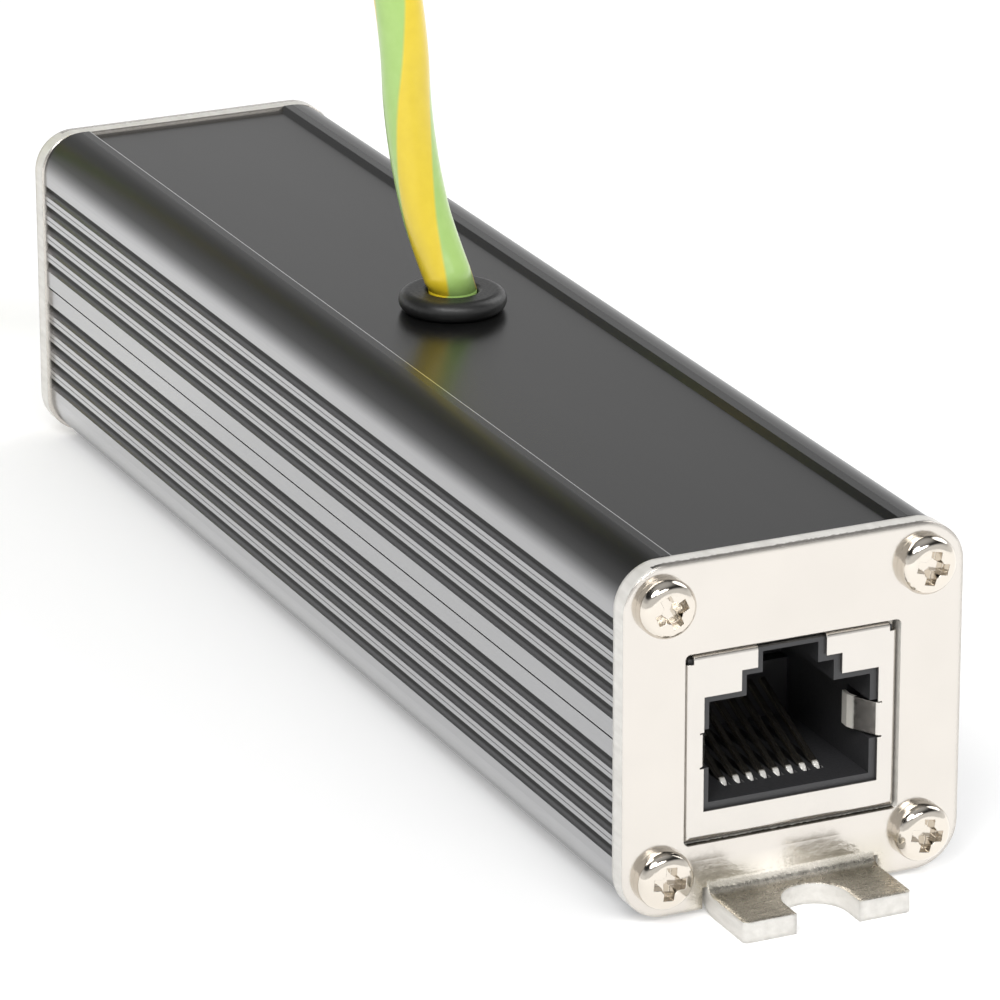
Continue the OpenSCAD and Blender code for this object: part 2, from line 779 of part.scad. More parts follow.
module grommet() {
    bore = wire_r + bore_gap;
    bead_r = grommet_h / 2;
    top_wall = wall - panel_depth;
    bead_edge = grommet_d / 2 - bead_r;
    color(black_plastic) translate([0, grommet_y, panel_z]) rotate_extrude() {
        translate([bore, -top_wall]) square([waist_d / 2 - bore, top_wall]);
        translate([bore, -top_wall - flange_t]) square([grommet_d / 2 - bore, flange_t]);
        translate([bore, 0]) square([bead_edge - bore, grommet_h - bead_round]);
        translate([bore + bead_round, 0]) square([bead_edge - bore - bead_round, grommet_h]);
        translate([bore + bead_round, grommet_h - bead_round]) circle(r = bead_round);
        translate([bead_edge, bead_r]) circle(r = bead_r);
    }
}

module ground_wire_inner() {
    color(wire_yellow) translate([0, grommet_y, strip_z]) cylinder(r = wire_r, h = exit_z - strip_z);
}

module ground_wire_core() {
    color(copper) translate([0, grommet_y, 0]) {
        translate([0, 0, board_z - core_below]) cylinder(r = core_r, h = strip_z - board_z + core_below);
        translate([0, 0, board_top]) cylinder(r1 = solder_r, r2 = core_r, h = solder_h);
    }
}

function unit(v) = v / norm(v);

// Direction of a line of points at one of them
function heading(line, i) =
    i == 0 ? unit(line[1] - line[0])
    : i == len(line) - 1 ? unit(line[i] - line[i - 1])
    : unit(unit(line[i + 1] - line[i]) + unit(line[i] - line[i - 1]));

// Corners of the tube's ring about a point of the route
function wire_ring(i) =
    let (along = i == 0 ? [0, 0, 1] : heading(wire_route, i))
    let (across = unit(route_side - (route_side * along) * along))
    let (up = cross(along, across))
    [for (k = [0:wire_sides - 1])
        let (a = 360 * k / wire_sides)
        wire_route[i] + wire_r * (cos(a) * across + sin(a) * up)];

module ground_wire() {
    corners = [for (i = [0:wire_last]) each wire_ring(i)];
    walls = [for (i = [0:wire_last - 1], k = [0:wire_sides - 1])
        let (next = (k + 1) % wire_sides)
        [i * wire_sides + k, (i + 1) * wire_sides + k, (i + 1) * wire_sides + next, i * wire_sides + next]];
    start_cap = [for (k = [0:wire_sides - 1]) k];
    end_cap = [for (k = [wire_sides - 1:-1:0]) wire_last * wire_sides + k];
    color(wire_yellow) polyhedron(points = corners, faces = concat(walls, [start_cap, end_cap]));
}

// Places what is drawn along +X on the line of the wire's last stretch, from its end onwards
module on_wire_end() {
    translate(wire_end) rotate([0, 0, atan2(end_heading[1], end_heading[0])]) children();
}

module terminal_sleeve() {
    color(sleeve_blue) on_wire_end() rotate([0, 90, 0]) difference() {
        translate([0, 0, -sleeve_back]) cylinder(r = sleeve_r, h = sleeve_len);
        translate([0, 0, -sleeve_back - over])
            cylinder(r = wire_r + sleeve_wire_gap, h = sleeve_len + 2 * over);
    }
}

module ring_terminal() {
    tongue_x = barrel_len - over;
    color(tin) on_wire_end() {
        rotate([0, 90, 0]) difference() {
            cylinder(r = barrel_r, h = barrel_len);
            translate([0, 0, barrel_len - barrel_bore_len]) cylinder(r = barrel_bore, h = barrel_bore_len + over);
        }
        translate([0, 0, -barrel_r]) linear_extrude(ring_t) difference() {
            union() {
                translate([ring_x, 0]) circle(r = ring_d / 2);
                translate([tongue_x, -tongue_w / 2]) square([ring_x - tongue_x, tongue_w]);
            }
            translate([ring_x, 0]) circle(r = eye_d / 2);
        }
    }
}

// Angle at which each screw's recess came to rest
front_turns = [25, -13, -6, -10];
rear_turns = [12, 64, -30, 41];

upper_shell();
lower_shell();
end_plate();  // front_end_plate
rear() end_plate();  // rear_end_plate
plate_screws(front_turns);  // front_plate_screws
rear() plate_screws(rear_turns);  // rear_plate_screws
circuit_board();
jack_shield();  // front_jack_shield
rear() jack_shield();  // rear_jack_shield
jack_housing();  // front_jack_housing
rear() jack_housing();  // rear_jack_housing
jack_insert();  // front_jack_insert
rear() jack_insert();  // rear_jack_insert
jack_contacts();  // front_jack_contacts
rear() jack_contacts();  // rear_jack_contacts
gas_tube_ceramics();
gas_tube_electrodes();
clamp_diodes();
grommet();
ground_wire_inner();
ground_wire_core();
ground_wire();
terminal_sleeve();
ring_terminal();
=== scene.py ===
import math

import bmesh
import bpy
from mathutils import Matrix, Vector


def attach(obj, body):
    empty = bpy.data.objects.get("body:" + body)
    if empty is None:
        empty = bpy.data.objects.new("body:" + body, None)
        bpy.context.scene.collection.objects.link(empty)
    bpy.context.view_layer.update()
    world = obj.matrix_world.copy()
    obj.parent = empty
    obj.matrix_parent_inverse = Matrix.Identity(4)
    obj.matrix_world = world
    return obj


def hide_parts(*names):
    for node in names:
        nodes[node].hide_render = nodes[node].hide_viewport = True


MM = 0.001

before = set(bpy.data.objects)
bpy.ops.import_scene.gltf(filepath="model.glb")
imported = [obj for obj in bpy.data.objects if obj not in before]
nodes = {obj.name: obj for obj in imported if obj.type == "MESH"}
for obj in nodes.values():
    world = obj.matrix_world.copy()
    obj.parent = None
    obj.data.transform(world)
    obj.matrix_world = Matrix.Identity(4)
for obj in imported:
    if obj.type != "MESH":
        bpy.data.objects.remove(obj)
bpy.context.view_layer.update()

# Camera: where it stands and its lens in millimetres, the way it looks and its turn about its line
# of sight in degrees, and the nearest and farthest that it sees in metres
CAMERA_AT = (-180.18, -400.37, 172.46)
CAMERA_AZIMUTH = -24.642
CAMERA_ELEVATION = 20.248
CAMERA_ROLL = -0.094
CAMERA_LENS = 223.96
CAMERA_CLIP = (0.01, 50)

# Free wire: its route from the grommet to its terminal in millimetres, as in the part's source,
# its length in metres, and the sides and the steps of its mesh
WIRE_D = 3.6
WIRE_ROUTE = [
    (0, 0.8, 27), (-0.4, 1.9, 29), (-1, 3.1, 32), (-1.4, 3.9, 35), (-1.7, 4.4, 38),
    (-1.9, 4.7, 41), (-2, 5, 45), (-2.3, 6, 50), (-2.9, 8.3, 55), (-3.9, 12.3, 59.6),
    (-5.2, 17.6, 63), (-6.8, 24, 64.8), (-8.4, 30.6, 64.6), (-10, 37, 62.6), (-11.4, 43, 59),
    (-12.7, 48.6, 54.2), (-13.8, 53.6, 48.4), (-14.7, 58, 42), (-15.3, 62, 35.4),
    (-15.7, 66, 28.8), (-15.9, 70.4, 22.4), (-15.8, 75.4, 16.6), (-15.4, 81.2, 11.6),
    (-14.8, 88, 7.6), (-14, 95.4, 4.8), (-13.2, 103.2, 3.1), (-12.4, 111, 2.35),
    (-11.7, 118, 2.3), (-11, 125, 2.3),
]
WIRE_SIDES = 32
WIRE_STEP = 1.0

# Wire's stripes: how many there are, how they wind, and between which shares of their pitch each
# one's two edges lie
STRIPES = 2
STRIPE_TURNS_PER_METRE = 14.5
STRIPE_BEGINS = (0.30, 0.34)
STRIPE_ENDS = (0.82, 0.78)

# The lengths from here on are in metres in the part's frame: X across the housing, Y along it and
# Z up. A pair is where something begins and where it is full, or the two ends of a stretch.

# Wire in the grommet: its green side, along X
INNER_GREEN = (-0.0012, -0.0010)

# Housing: its seam's height, and above or below it the sides that get a painted sheen, the grooved
# stretch and the middle of its first groove. Groove edges are in pitches from the middle of a rib.
SEAM = 0.0131
PAINTED_SHEEN_HEIGHTS = (0.0111, 0.0097)
GROOVED = (0.0012, 0.009)
FIRST_GROOVE = 0.0019
GROOVE_PITCH = 0.0016
GROOVE_EDGE = (0.21, 0.40)

# Housing: the line along its sunk panel where a highlight is painted, at one X, its lower corners
# with a painted highlight, along Z, and its upper corners, to either side
PANEL_EDGE = -0.00857
PANEL_HIGHLIGHT = (0.00007, 0.00003)
LIT_LOWER_CORNER = (0.0034, 0.0022)
LIT_CORNER_SHARE = 0.5
UPPER_CORNER = (0.0091, 0.0096)

# End plates: how far behind their faces their edges are sheared, by how much that wanders, and
# the foot's upper side and where it leaves its bend. The last two are how far a face's normal may
# lie along the sheet's own, and how far it has to lie along X, to be a sheared edge.
SHEARED_BEHIND = 0.05455
SHEAR_WANDER = 0.0001
FOOT_TOP = 0.00149
FOOT_START = 0.0559
FLAT_SHEET = 0.5
SIDE_EDGE = 0.35

# End plates: how far out their rolled outer edges begin, and the radius of those and of the rest
OUTER_EDGE = (0.0114, 0.0115)
PLAIN_EDGE = 0.0001
ROLLED_EDGE = 0.0006

# End plates: the sheet strained by the foot's bend, along Z and to either side, and where it is
# darker, to either side
STRAINED_HEIGHT = (0.0040, 0.0020)
STRAINED_WIDTH = (0.0082, 0.0068)
DARKENED_SIDES = (0.0018, 0.0036)

# Painted highlights, along Y: on the crests of the shields' fingers and of the contacts' front
# bends
FINGER_HIGHLIGHT = (0.0531, 0.0529)
CONTACT_HIGHLIGHT = (0.05135, 0.05155)

# Noises: the stretch along each axis, the scale, the detail and the roughness
EVEN = (1, 1, 1)
NOISES = {
    "insulation_mottle": (EVEN, 900, 3, 0.5),
    "insulation_skin": (EVEN, 1500, 2, 0.5),
    "die_lines": ((1, 0.012, 1), 4500, 4, 0.6),
    "anodising": ((1, 0.15, 1), 120, 3, 0.5),
    "shear_line": (EVEN, 4000, 2, 0.5),
    "shear_marks": ((1, 0.2, 1), 1800, 3, 0.5),
    "plating_cloud": (EVEN, 260, 4, 0.5),
    "plating_grain": (EVEN, 2800, 3, 0.5),
    "strain_grain": (EVEN, 2400, 3, 0.6),
    "strain_creases": ((1, 2, 2), 650, 3, 0.6),
    "drawn_cloud": ((1, 0.2, 1), 700, 2, 0.5),
    "sparked_grain": (EVEN, 5000, 3, 0.5),
    "ground_cloud": (EVEN, 3, 2, 0.5),
}
NOISE_REACH = (0.3, 0.7)

# Specks: the size of their cells and their own in metres, the share of cells with one, and where
# their pattern starts
SPECKS = {
    "dust": (0.0035, 0.00011, 0.12, 3),
    "pits": (0.0016, 0.00006, 0.10, 7),
}

# Colours, as linear red, green and blue, and pairs of them for a noise to mix
YELLOW = ((0.80, 0.59, 0.02), (0.89, 0.68, 0.035))
GREEN = ((0.37, 0.60, 0.15), (0.45, 0.68, 0.21))
INNER_COLORS = ((0.90, 0.68, 0.03), (0.41, 0.64, 0.18))
BLACK_ANODISING = ((0.004, 0.004, 0.004), (0.010, 0.010, 0.010))
# Painted sheen: bright metal on the housing's sides in place of the black, standing in for their
# reflection of the bright floor
PAINTED_SHEEN_METAL = ((0.205, 0.205, 0.21), (0.235, 0.235, 0.24))
# Painted highlight: pale metal on the sunk panel's edge line and on the lower corners
PAINTED_HIGHLIGHT_METAL = (0.66, 0.66, 0.66)
DUST = (0.8, 0.8, 0.78)
NICKEL = (0.64, 0.605, 0.560)
SCREW_NICKEL = (0.68, 0.63, 0.56)
TIN = (0.64, 0.61, 0.57)
PIT = (0.30, 0.26, 0.21)
STRAINED_NICKEL = ((0.78, 0.73, 0.64), (0.94, 0.89, 0.80))
DARKENED_NICKEL = ((0.50, 0.47, 0.40), (0.68, 0.64, 0.56))
SHEARED_STEEL = ((0.62, 0.60, 0.56), (0.90, 0.88, 0.84))
# Painted highlight: pale tin on the crests of the shields' spring fingers
PLATING_HIGHLIGHT_TINT = (0.90, 0.87, 0.80)
GOLD = (1.0, 0.93, 0.78)
# Painted highlight: pale gold on the contacts' front bends
GOLD_HIGHLIGHT_TINT = (1.0, 0.98, 0.93)
COPPER = (0.80, 0.45, 0.28)

# How much darker clouded metal gets, and how much lighter the grain of plastic
PLATING_DULLED = 0.93
DRAWN_DULLED = 0.9
GRAIN_LIGHTER = 1.25

# Roughness of the housing, the wire and what is added to a material's own
INSULATION_ROUGH = 0.32
INNER_ROUGH = 0.35
ANODISING_ROUGH = (0.24, 0.27)
CORNER_ROUGHER = 0.05
GROOVE_ROUGHER = 0.35
PLATING_ROUGHER = 0.07
STRAINED_ROUGHER = 0.12
SHEARED_ROUGHER = 0.3
HIGHLIGHT_ROUGHER = 0.2
DRAWN_ROUGHER = 0.05
PLASTIC_ROUGHER = (-0.06, 0.08)

# How metallic sheared metal and the painted highlights look, where the rest is fully so
SHEARED_METALLIC = 0.25
PLATING_HIGHLIGHT_METALLIC = 0.35
GOLD_HIGHLIGHT_METALLIC = 0.3

# Heights of the bumps in metres, and within the plating's, the shares of grain and creases
INSULATION_BUMP = 0.00001
DIE_LINE_BUMP = 0.0000006
PLATING_BUMP = 0.00004
PLATING_BUMP_STRENGTH = 0.6
DRAWN_BUMP = 0.000002
PLASTIC_BUMP = 0.00001
FINE_GRAIN = 0.06
STRAIN_GRAIN = 1.2
STRAIN_CREASES = 3.0

# Radius that edges seem rounded by, in metres, and the samples it takes
SCREW_EDGE = 0.0001
TIN_EDGE = 0.00008
GOLD_EDGE = 0.00018
EDGE_SAMPLES = 6

# Clear coats: the insulation's, and the one over the aluminium with the painted sheen, which is
# also anisotropic
INSULATION_COAT = 0.6
INSULATION_COAT_ROUGH = 0.3
ALUMINIUM_COAT_ROUGH = 0.2
ALUMINIUM_ANISOTROPIC = 0.6

# Plain plastics, and what passes for them: the color, the roughness and the nodes of each
PLASTICS = {
    "socket_plastic": (
        (0.032, 0.032, 0.034), 0.35,
        ("front_jack_housing", "rear_jack_housing", "front_jack_insert", "rear_jack_insert"),
    ),
    "package_plastic": ((0.02, 0.02, 0.022), 0.5, ("clamp_diodes",)),
    "grommet_rubber": ((0.012, 0.012, 0.012), 0.38, ("grommet",)),
    "solder_resist": ((0.02, 0.16, 0.06), 0.3, ("circuit_board",)),
    "ceramic_body": ((0.70, 0.68, 0.62), 0.35, ("gas_tube_ceramics",)),
    "sleeve_vinyl": ((0.02, 0.06, 0.33), 0.3, ("terminal_sleeve",)),
}

# Ground: its size in metres, its two greys, its roughness and how bright it glows
GROUND_SIZE = 12
GROUND_COLORS = ((0.8, 0.8, 0.8), (0.82, 0.82, 0.82))
GROUND_ROUGH = 0.9
GROUND_GLOW = 0.29
GROUND_GLOW_IN_METAL = 0.55

# Sky: its level in diffuse light, its levels in metal by the height of a direction, from 0 at the
# horizon to 1 overhead, and the brighter stretch ahead, which fades along Y and with the height
SKY_DIFFUSE = 0.5
SKY_IN_METAL = (
    (0.0, 1.0), (0.20, 0.90), (0.29, 0.68), (0.36, 0.57), (0.45, 0.42), (0.50, 0.06),
    (0.60, 0.02), (0.76, 0.06), (0.90, 0.40), (1.0, 0.55),
)
SKY_AHEAD = 0.85
AHEAD = (-0.2, -0.6)
LOW = (0.60, 0.40)

# Lamps, which all face the origin: where they hang and how big they are in metres, and their watts
LAMPS = {
    "key": {"at": (-0.5, -0.5, 0.8), "wide": 0.5, "high": 0.5, "power": 4.5},
    "fill": {"at": (0.9, 0.2, 0.7), "wide": 0.8, "high": 0.8, "power": 4.0},
    "front": {"at": (-0.08, -0.85, 0.72), "wide": 0.7, "high": 0.25, "power": 3.4},
}


def set_camera():
    a, e, r = (math.radians(v) for v in (CAMERA_AZIMUTH, CAMERA_ELEVATION, CAMERA_ROLL))
    back = Vector((math.sin(a) * math.cos(e), -math.cos(a) * math.cos(e), math.sin(e)))
    right = Vector((math.cos(a), math.sin(a), 0))
    up = back.cross(right)
    turned_right = right * math.cos(r) + up * math.sin(r)
    turned_up = up * math.cos(r) - right * math.sin(r)
    stand = Matrix((turned_right, turned_up, back)).transposed().to_4x4()
    stand.translation = Vector(CAMERA_AT) * MM
    camera = bpy.data.objects.new("camera", bpy.data.cameras.new("camera"))
    camera.data.lens = CAMERA_LENS
    camera.data.clip_start, camera.data.clip_end = CAMERA_CLIP
    camera.matrix_world = stand
    bpy.context.scene.collection.objects.link(camera)
    bpy.context.scene.camera = camera


def smooth_line(points, step):
    """Points about a step apart on one smooth curve through the given ones."""
    ends = [points[0] * 2 - points[1], *points, points[-1] * 2 - points[-2]]
    line = []
    for a, b, c, d in zip(ends, ends[1:], ends[2:], ends[3:]):
        steps = max(1, round((c - b).length / step))
        for t in (k / steps for k in range(steps)):
            line.append(0.5 * (2 * b + (c - a) * t + (2 * a - 5 * b + 4 * c - d) * t ** 2
                               + (3 * b - a - 3 * c + d) * t ** 3))
    line.append(points[-1])
    return line


def rings_along(mesh, path, radius, sides):
    """Rings of vertices along a path, the first one level and none twisted against the next."""
    rings = []
    turns = [2 * math.pi * k / sides for k in range(sides)]
    normal = Vector((1, 0, 0))
    for i, centre in enumerate(path):
        heading = (path[min(i + 1, len(path) - 1)] - path[max(i - 1, 0)]).normalized()
        if i == 0:
            heading = Vector((0, 0, 1))
        normal = (normal - heading * normal.dot(heading)).normalized()
        side = heading.cross(normal)
        rings.append([
            mesh.verts.new(centre + radius * (math.cos(a) * normal + math.sin(a) * side))
            for a in turns
        ])
    return rings


def sweep(name, path, radius, sides):
    """Closed tube along a path, its UV map the metres along it and the share of a turn about it."""
    mesh = bmesh.new()
    uv = mesh.loops.layers.uv.new("along_and_about")
    rings = rings_along(mesh, path, radius, sides)
    travelled = [0.0]
    for here, there in zip(path, path[1:]):
        travelled.append(travelled[-1] + (there - here).length)
    for i in range(len(path) - 1):
        for k in range(sides):
            after = (k + 1) % sides
            face = mesh.faces.new(
                (rings[i][k], rings[i][after], rings[i + 1][after], rings[i + 1][k])
            )
            face.smooth = True
            corners = ((i, k), (i, k + 1), (i + 1, k + 1), (i + 1, k))
            for loop, (ring, turn) in zip(face.loops, corners):
                loop[uv].uv = (travelled[ring], turn / sides)
    mesh.faces.new(rings[0][::-1])
    mesh.faces.new(rings[-1])
    data = bpy.data.meshes.new(name)
    mesh.to_mesh(data)
    mesh.free()
    piece = bpy.data.objects.new(name, data)
    bpy.context.scene.collection.objects.link(piece)
    return piece


def make_wire():
    path = [p * MM for p in smooth_line([Vector(p) for p in WIRE_ROUTE], WIRE_STEP)]
    wire = sweep("earth_wire", path, WIRE_D / 2 * MM, WIRE_SIDES)
    wire.data.materials.append(wire_material("earth_wire_insulation"))
    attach(wire, "root")
    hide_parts("ground_wire")


def new_material(name):
    material = bpy.data.materials.new(name)
    material.use_nodes = True
    return material, material.node_tree, material.node_tree.nodes["Principled BSDF"]


def add(tree, kind, **settings):
    made = tree.nodes.new(kind)
    for key, value in settings.items():
        setattr(made, key, value)
    return made


def put(socket, value):
    """Links a socket to another one, or else sets it to a value."""
    if isinstance(value, bpy.types.NodeSocket):
        socket.id_data.links.new(value, socket)
    else:
        socket.default_value = value


def fill(node, **values):
    """Sets a node's inputs by name, with underscores for the spaces."""
    for key, value in values.items():
        put(node.inputs[key.replace("_", " ")], value)
    return node


def maths(tree, operation, a, b=0):
    made = add(tree, "ShaderNodeMath", operation=operation)
    put(made.inputs[0], a)
    put(made.inputs[1], b)
    return made.outputs[0]


def total(tree, a, b):
    return maths(tree, "ADD", a, b)


def difference(tree, a, b):
    return maths(tree, "SUBTRACT", a, b)


def product(tree, a, b):
    return maths(tree, "MULTIPLY", a, b)


def larger(tree, a, b):
    return maths(tree, "MAXIMUM", a, b)


def distance(tree, a, b=None):
    """How far a value is from another one, or from 0."""
    return maths(tree, "ABSOLUTE", a if b is None else difference(tree, a, b))


def between(tree, share, low, high, smallest=0.0, largest=1.0):
    """A share from low to high, spread over smallest to largest and held there."""
    made = add(tree, "ShaderNodeMapRange", clamp=True)
    fill(made, Value=share, From_Min=low, From_Max=high, To_Min=smallest, To_Max=largest)
    return made.outputs["Result"]


def spread(tree, noise, smallest, largest):
    """A noise, spread over smallest to largest."""
    return between(tree, noise, *NOISE_REACH, smallest, largest)


def opaque(color):
    return (*color, 1)


def grey(level):
    return (level, level, level, 1)


def blend(tree, share, under, over):
    """One colour over another by a share."""
    made = add(tree, "ShaderNodeMix", data_type="RGBA")
    sockets = [s for s in made.inputs if s.type == "RGBA"]
    for socket, value in ((made.inputs[0], share), (sockets[0], under), (sockets[1], over)):
        put(socket, value)
    return [s for s in made.outputs if s.type == "RGBA"][0]


def mottled(tree, noise, colors):
    """The first of two colours, with the second one over it by a noise."""
    return blend(tree, noise, opaque(colors[0]), opaque(colors[1]))


def place(tree, scale=EVEN):
    """Position on the object in metres, stretched by a scale along each axis."""
    where = add(tree, "ShaderNodeTexCoord").outputs["Object"]
    return fill(add(tree, "ShaderNodeMapping"), Vector=where, Scale=scale).outputs["Vector"]


def axes(tree, vector):
    """A vector's X, Y and Z."""
    return fill(add(tree, "ShaderNodeSeparateXYZ"), Vector=vector).outputs


def noise_of(tree, name):
    stretch, scale, detail, roughness = NOISES[name]
    made = fill(
        add(tree, "ShaderNodeTexNoise"), Vector=place(tree, stretch), Scale=scale,
        Detail=detail, Roughness=roughness,
    )
    return made.outputs["Fac"]


def specks_of(tree, name):
    """1 in small round specks, of which some cells hold one each."""
    cell, size, share, start = SPECKS[name]
    moved = fill(add(tree, "ShaderNodeMapping"), Vector=place(tree), Location=(start,) * 3)
    cells = fill(
        add(tree, "ShaderNodeTexVoronoi"), Vector=moved.outputs["Vector"], Scale=1 / cell,
    ).outputs
    chosen = fill(add(tree, "ShaderNodeSeparateColor"), Color=cells["Color"]).outputs[0]
    near = between(tree, cells["Distance"], size / cell, 0.7 * size / cell)
    return product(tree, near, maths(tree, "LESS_THAN", chosen, share))


def bump(tree, height, reach, strength=1.0, edge=None):
    """Normal of a bump up to a reach in metres, over edges rounded by a radius if one is given."""
    made = fill(add(tree, "ShaderNodeBump"), Height=height, Distance=reach, Strength=strength)
    if edge:
        soft = fill(add(tree, "ShaderNodeBevel", samples=EDGE_SAMPLES), Radius=edge)
        fill(made, Normal=soft.outputs["Normal"])
    return made.outputs["Normal"]


def wire_material(name):
    """Yellow insulation with a wide green stripe that winds slowly round it."""
    material, tree, shader = new_material(name)
    uv = axes(tree, add(tree, "ShaderNodeUVMap", uv_map="along_and_about").outputs["UV"])
    about = product(tree, uv["Y"], STRIPES)
    along = product(tree, uv["X"], STRIPES * STRIPE_TURNS_PER_METRE)
    share = maths(tree, "FRACT", difference(tree, about, along))
    green = product(
        tree, between(tree, share, *STRIPE_BEGINS), between(tree, share, *STRIPE_ENDS),
    )
    mottle = noise_of(tree, "insulation_mottle")
    fill(
        shader, Roughness=INSULATION_ROUGH, Coat_Weight=INSULATION_COAT,
        Coat_Roughness=INSULATION_COAT_ROUGH,
        Base_Color=blend(tree, green, mottled(tree, mottle, YELLOW), mottled(tree, mottle, GREEN)),
        Normal=bump(tree, noise_of(tree, "insulation_skin"), INSULATION_BUMP),
    )
    return material


def inner_wire_material(name):
    """The same insulation down in the grommet, green on one side and yellow on the other."""
    material, tree, shader = new_material(name)
    green = between(tree, axes(tree, place(tree))["X"], *INNER_GREEN)
    fill(shader, Base_Color=mottled(tree, green, INNER_COLORS), Roughness=INNER_ROUGH)
    return material


def painted_sheen_sides(tree):
    """1 on the lands of the sides, where a sheen is painted, 1 where highlights are painted, and 1
    in the grooves.
    """
    at = axes(tree, place(tree))
    height = distance(tree, at["Z"], SEAM)
    pitches = maths(tree, "DIVIDE", difference(tree, height, FIRST_GROOVE), GROOVE_PITCH)
    off_rib = distance(tree, maths(tree, "FRACT", pitches), 0.5)
    among = product(
        tree, maths(tree, "GREATER_THAN", height, GROOVED[0]),
        maths(tree, "LESS_THAN", height, GROOVED[1]),
    )
    groove = product(tree, among, between(tree, off_rib, *GROOVE_EDGE))
    # Painted sheen: the lands of the sides between the grooves, in bright metal
    land = difference(tree, between(tree, height, *PAINTED_SHEEN_HEIGHTS), groove)
    # Painted highlight: a thin line along the sunk panel's edge
    panel_highlight = product(
        tree, between(tree, distance(tree, at["X"], PANEL_EDGE), *PANEL_HIGHLIGHT),
        maths(tree, "GREATER_THAN", height, PAINTED_SHEEN_HEIGHTS[0]),
    )
    # Painted highlight on the lower corners, part way to pale metal
    corner = between(tree, at["Z"], *LIT_LOWER_CORNER, 0.0, LIT_CORNER_SHARE)
    return larger(tree, land, panel_highlight), larger(tree, panel_highlight, corner), groove


def housing_material(name):
    """Black anodised extrusion with fine die lines and some dust, a painted sheen on its sides and
    painted highlights on its panel edge and lower corners.
    """
    material, tree, shader = new_material(name)
    lines = noise_of(tree, "die_lines")
    dust = specks_of(tree, "dust")
    sheen, painted_highlight, groove = painted_sheen_sides(tree)
    out = distance(tree, axes(tree, place(tree))["X"])
    corner = between(tree, out, *UPPER_CORNER, 0.0, CORNER_ROUGHER)
    black = mottled(tree, lines, BLACK_ANODISING)
    # Painted sheen on the sides, paler where highlights are painted; the rest stays black
    metal = blend(tree, painted_highlight, mottled(tree, lines, PAINTED_SHEEN_METAL), opaque(PAINTED_HIGHLIGHT_METAL))
    rough = total(
        tree, spread(tree, noise_of(tree, "anodising"), *ANODISING_ROUGH),
        product(tree, groove, GROOVE_ROUGHER),
    )
    along = add(tree, "ShaderNodeTangent", direction_type="RADIAL", axis="Y")
    fill(
        shader, Coat_Weight=sheen, Coat_Roughness=ALUMINIUM_COAT_ROUGH,
        Anisotropic=ALUMINIUM_ANISOTROPIC, Tangent=along.outputs["Tangent"],
        Base_Color=blend(tree, dust, blend(tree, sheen, black, metal), opaque(DUST)),
        Metallic=product(tree, sheen, difference(tree, 1.0, dust)),
        Roughness=total(tree, rough, corner), Normal=bump(tree, lines, DIE_LINE_BUMP),
    )
    return material


def sheared_edges(tree):
    """1 on the cut edges of the end plates' sheet and 0 on its rolled faces."""
    normal = axes(tree, add(tree, "ShaderNodeNewGeometry").outputs["True Normal"])
    across, along, up = (distance(tree, part) for part in normal)
    at = axes(tree, place(tree))
    depth = distance(tree, at["Y"])
    wander = spread(tree, noise_of(tree, "shear_line"), -SHEAR_WANDER, SHEAR_WANDER)
    in_plate = maths(tree, "LESS_THAN", total(tree, depth, wander), SHEARED_BEHIND)
    plate_edge = product(tree, in_plate, maths(tree, "LESS_THAN", along, FLAT_SHEET))
    in_foot = maths(tree, "LESS_THAN", at["Z"], FOOT_TOP)
    foot_edge = product(tree, in_foot, maths(tree, "LESS_THAN", up, FLAT_SHEET))
    past_bend = product(tree, foot_edge, maths(tree, "GREATER_THAN", depth, FOOT_START))
    side_edge = maths(tree, "GREATER_THAN", across, SIDE_EDGE)
    return larger(tree, larger(tree, plate_edge, past_bend), side_edge)


def strained_sheet(tree):
    """1 where the end plates' sheet is strained by its bend, and 1 to either side, where it's
    darker.
    """
    at = axes(tree, place(tree))
    out = distance(tree, at["X"])
    strained = product(
        tree, between(tree, at["Z"], *STRAINED_HEIGHT), between(tree, out, *STRAINED_WIDTH),
    )
    return strained, between(tree, out, *DARKENED_SIDES)


def rolled_edge(tree):
    """Radius of the end plates' edges, larger on the outer ones and the feet than at holes."""
    at = axes(tree, place(tree))
    out = larger(tree, distance(tree, at["X"]), distance(tree, at["Z"], SEAM))
    return between(tree, out, *OUTER_EDGE, PLAIN_EDGE, ROLLED_EDGE)


def finger_highlight(tree):
    """1 on the crests of the shields' spring fingers, where a highlight is painted."""
    return between(tree, distance(tree, axes(tree, place(tree))["Y"]), *FINGER_HIGHLIGHT)


def contact_highlight(tree):
    """1 on the contacts' front bends, where a highlight is painted."""
    return between(tree, distance(tree, axes(tree, place(tree))["Y"]), *CONTACT_HIGHLIGHT)


